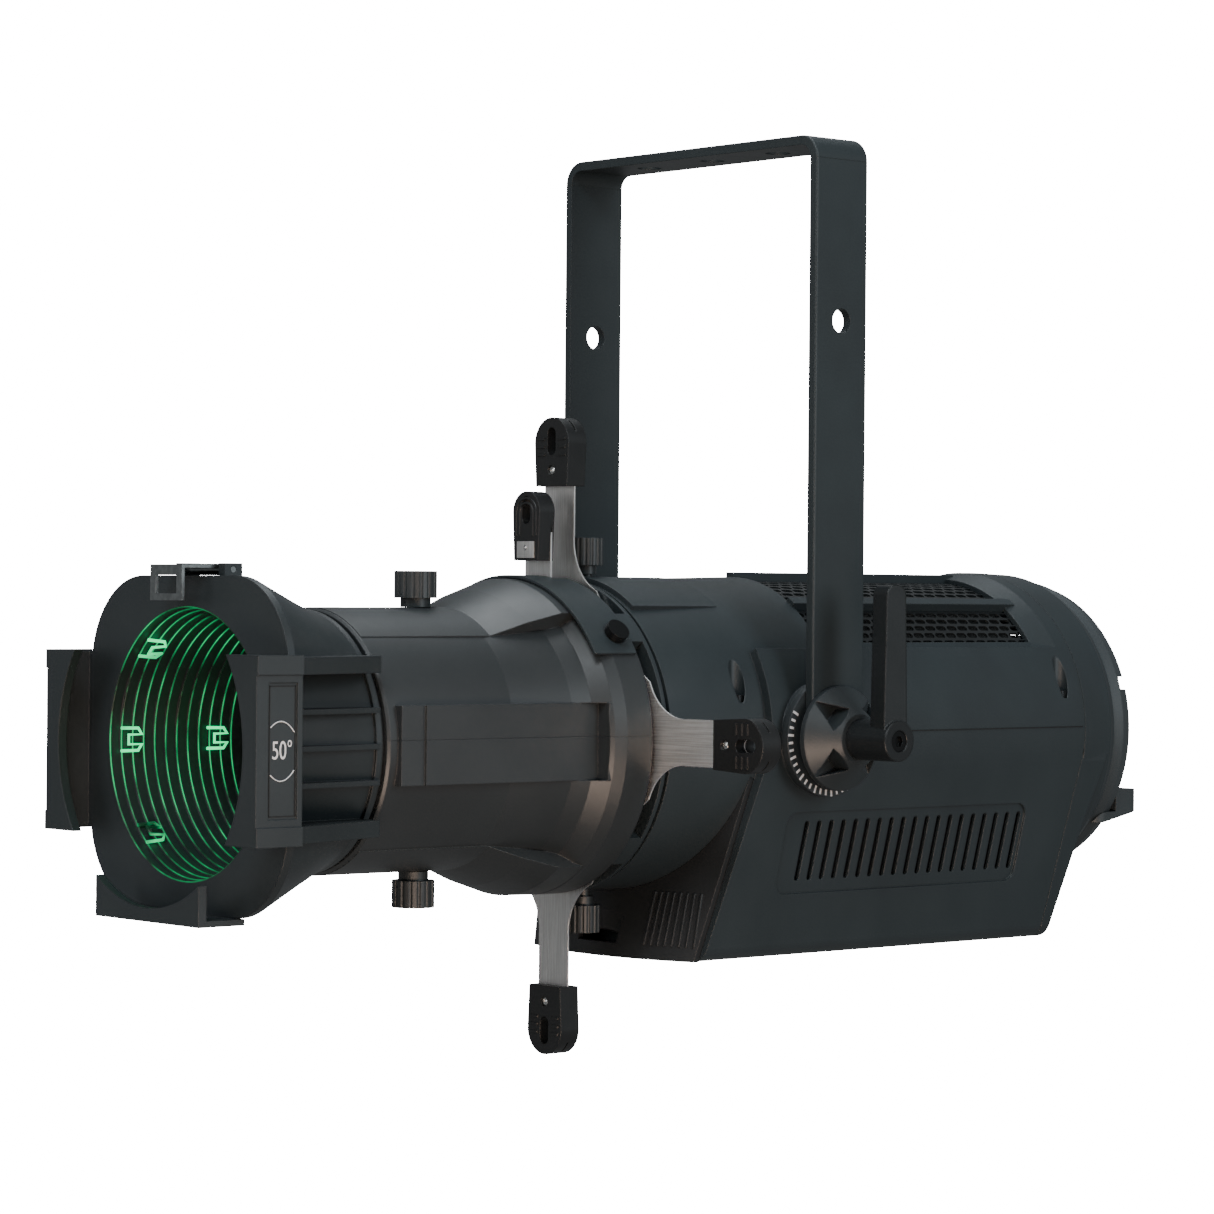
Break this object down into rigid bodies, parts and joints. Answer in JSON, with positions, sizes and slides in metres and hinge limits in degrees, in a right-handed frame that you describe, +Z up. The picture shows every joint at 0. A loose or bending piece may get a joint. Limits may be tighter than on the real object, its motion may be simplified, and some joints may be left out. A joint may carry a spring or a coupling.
{
  "type": "profile spotlight",
  "caption": "Stage profile spotlight: ribbed round housing with a driver box below, turning barrel with framing shutters and pattern slot, sliding lens tube with frame holder, and a flat yoke.",
  "frame": {"origin": "centre of the middle hole in the yoke's top face, where a hook clamp bolts on", "axes": "-Y is the way the beam leaves, +Z is up, +X is the side with the tilt lever"},
  "size_m": [0.324, 0.621, 0.468],
  "materials": {
    "yoke_paint": "satin",
    "body_paint": "powder coat, satin",
    "lever_paint": "powder coat, satin",
    "clamp_plastic": "satin",
    "dark_screws": "black oxide",
    "moulded_plastic": "fine grain",
    "grip_plastic": "fine grain",
    "blade_steel": "brushed",
    "sheet_steel": "brushed",
    "grille_paint": "satin",
    "cover_paint": "satin",
    "plated_steel": "zinc plated",
    "bare_aluminium": "machined",
    "lens_glass": "polished",
    "led_face": "phosphor",
    "fan_plastic": "moulded",
    "circuit_boards": "solder mask",
    "display_glass": "gloss",
    "socket_plastic": "gloss",
    "button_rubber": "matte"
  },
  "bodies": {
    "yoke": {"yoke": "yoke_paint", "clamp_hub": "clamp_plastic"},
    "head": {"housing_upper": "body_paint", "housing_lower": "body_paint", "front_bezel": "moulded_plastic", "rear_cap": "body_paint", "rear_bezel": "moulded_plastic", "rear_handle": "moulded_plastic", "vent_grille_right": "grille_paint", "vent_grille_left": "grille_paint", "housing_screws": "dark_screws", "safety_eye": "plated_steel", "tilt_disc_right": "clamp_plastic", "tilt_disc_left": "clamp_plastic", "pivot_bushes": "bare_aluminium", "pivot_bolt": "dark_screws", "bearing_ring": "bare_aluminium", "heat_sink": "bare_aluminium", "led_module": "led_face", "light_tunnel": "bare_aluminium", "condenser_lens": "lens_glass", "fan_frame": "fan_plastic", "power_supply": "circuit_boards", "display_window": "display_glass", "data_sockets": "socket_plastic", "power_sockets": "socket_plastic"},
    "fan_rotor": {"fan_rotor": "fan_plastic"},
    "menu_button_1": {"menu_button_1": "button_rubber"},
    "menu_button_2": {"menu_button_2": "button_rubber"},
    "menu_button_3": {"menu_button_3": "button_rubber"},
    "menu_button_4": {"menu_button_4": "button_rubber"},
    "tilt_lever": {"tilt_lever": "lever_paint", "lever_screw": "dark_screws"},
    "rotation_knob_top": {"rotation_knob_top": "moulded_plastic"},
    "rotation_knob_bottom": {"rotation_knob_bottom": "moulded_plastic"},
    "barrel": {"barrel_upper": "body_paint", "barrel_lower": "body_paint", "gate_ring": "body_paint"},
    "slot_cover": {"slot_cover": "cover_paint"},
    "thumb_screw_right": {"thumb_screw_right": "dark_screws"},
    "thumb_screw_left": {"thumb_screw_left": "dark_screws"},
    "shutter_top": {"shutter_top_blade": "blade_steel", "shutter_top_grip": "grip_plastic"},
    "shutter_bottom": {"shutter_bottom_blade": "blade_steel", "shutter_bottom_grip": "grip_plastic"},
    "shutter_right": {"shutter_right_blade": "blade_steel", "shutter_right_grip": "grip_plastic"},
    "shutter_left": {"shutter_left_blade": "blade_steel", "shutter_left_grip": "grip_plastic"},
    "pattern_holder": {"pattern_holder": "sheet_steel", "pattern_disc": "sheet_steel", "pattern_grip": "grip_plastic"},
    "lens_tube": {"lens_tube": "body_paint", "front_lens": "lens_glass", "rear_lens": "lens_glass", "lens_rings": "bare_aluminium"},
    "frame_clip": {"frame_clip": "plated_steel"},
    "focus_knob_top": {"focus_knob_top": "moulded_plastic"},
    "focus_knob_bottom": {"focus_knob_bottom": "moulded_plastic"}
  },
  "joints": [
    {"name": "tilt", "type": "hinge", "parent": "yoke", "child": "head", "pos_m": [0, 0, -0.306], "axis": [-1, 0, 0], "range_deg": [-90, 48]},
    {"name": "fan_spin", "type": "hinge", "parent": "head", "child": "fan_rotor", "pos_m": [0, 0.174, -0.306], "axis": [0, 1, 0], "continuous": true},
    {"name": "menu_button_1_press", "type": "slide", "parent": "head", "child": "menu_button_1", "axis": [0, -1, 0], "range_m": [0, 0.0015], "stiffness_N_per_m": 500, "springref_m": -0.001},
    {"name": "menu_button_2_press", "type": "slide", "parent": "head", "child": "menu_button_2", "axis": [0, -1, 0], "range_m": [0, 0.0015], "stiffness_N_per_m": 500, "springref_m": -0.001},
    {"name": "menu_button_3_press", "type": "slide", "parent": "head", "child": "menu_button_3", "axis": [0, -1, 0], "range_m": [0, 0.0015], "stiffness_N_per_m": 500, "springref_m": -0.001},
    {"name": "menu_button_4_press", "type": "slide", "parent": "head", "child": "menu_button_4", "axis": [0, -1, 0], "range_m": [0, 0.0015], "stiffness_N_per_m": 500, "springref_m": -0.001},
    {"name": "tilt_lever_turn", "type": "hinge", "parent": "head", "child": "tilt_lever", "pos_m": [0.13, 0, -0.306], "axis": [-1, 0, 0], "range_deg": [-90, 90]},
    {"name": "rotation_knob_top_turn", "type": "hinge", "parent": "head", "child": "rotation_knob_top", "pos_m": [0, -0.085, -0.212], "axis": [0, 0, 1], "range_deg": [0, 720]},
    {"name": "rotation_knob_bottom_turn", "type": "hinge", "parent": "head", "child": "rotation_knob_bottom", "pos_m": [0, -0.085, -0.4], "axis": [0, 0, -1], "range_deg": [0, 720]},
    {"name": "barrel_turn", "type": "hinge", "parent": "head", "child": "barrel", "pos_m": [0, -0.104, -0.306], "axis": [0, -1, 0], "range_deg": [-25, 25]},
    {"name": "slot_cover_slide", "type": "slide", "parent": "barrel", "child": "slot_cover", "axis": [0, -1, 0], "range_m": [0, 0.01]},
    {"name": "thumb_screw_right_turn", "type": "hinge", "parent": "barrel", "child": "thumb_screw_right", "pos_m": [0.06435, -0.12, -0.25201], "axis": [0.766, 0, 0.6428], "range_deg": [0, 720]},
    {"name": "thumb_screw_left_turn", "type": "hinge", "parent": "barrel", "child": "thumb_screw_left", "pos_m": [-0.06435, -0.12, -0.25201], "axis": [-0.766, 0, 0.6428], "range_deg": [0, 720]},
    {"name": "shutter_top_slide", "type": "slide", "parent": "barrel", "child": "shutter_top", "axis": [0, 0, -1], "range_m": [0, 0.043]},
    {"name": "shutter_bottom_slide", "type": "slide", "parent": "barrel", "child": "shutter_bottom", "axis": [0, 0, 1], "range_m": [0, 0.043]},
    {"name": "shutter_right_slide", "type": "slide", "parent": "barrel", "child": "shutter_right", "axis": [-1, 0, 0], "range_m": [0, 0.043]},
    {"name": "shutter_left_slide", "type": "slide", "parent": "barrel", "child": "shutter_left", "axis": [1, 0, 0], "range_m": [0, 0.043]},
    {"name": "pattern_holder_lift", "type": "slide", "parent": "barrel", "child": "pattern_holder", "axis": [0, 0, 1], "range_m": [0, 0.007]},
    {"name": "focus_slide", "type": "slide", "parent": "barrel", "child": "lens_tube", "axis": [0, -1, 0], "range_m": [0, 0.04]},
    {"name": "frame_clip_swing", "type": "hinge", "parent": "lens_tube", "child": "frame_clip", "pos_m": [0.003, -0.322, -0.2236], "axis": [-1, 0, 0], "range_deg": [0, 95], "stiffness_Nm_per_rad": 0.02, "springref_deg": -51.57},
    {"name": "focus_knob_top_turn", "type": "hinge", "parent": "lens_tube", "child": "focus_knob_top", "pos_m": [0, -0.196, -0.23], "axis": [0, 0, 1], "range_deg": [0, 720]},
    {"name": "focus_knob_bottom_turn", "type": "hinge", "parent": "lens_tube", "child": "focus_knob_bottom", "pos_m": [0, -0.196, -0.382], "axis": [0, 0, -1], "range_deg": [0, 720]}
  ]
}
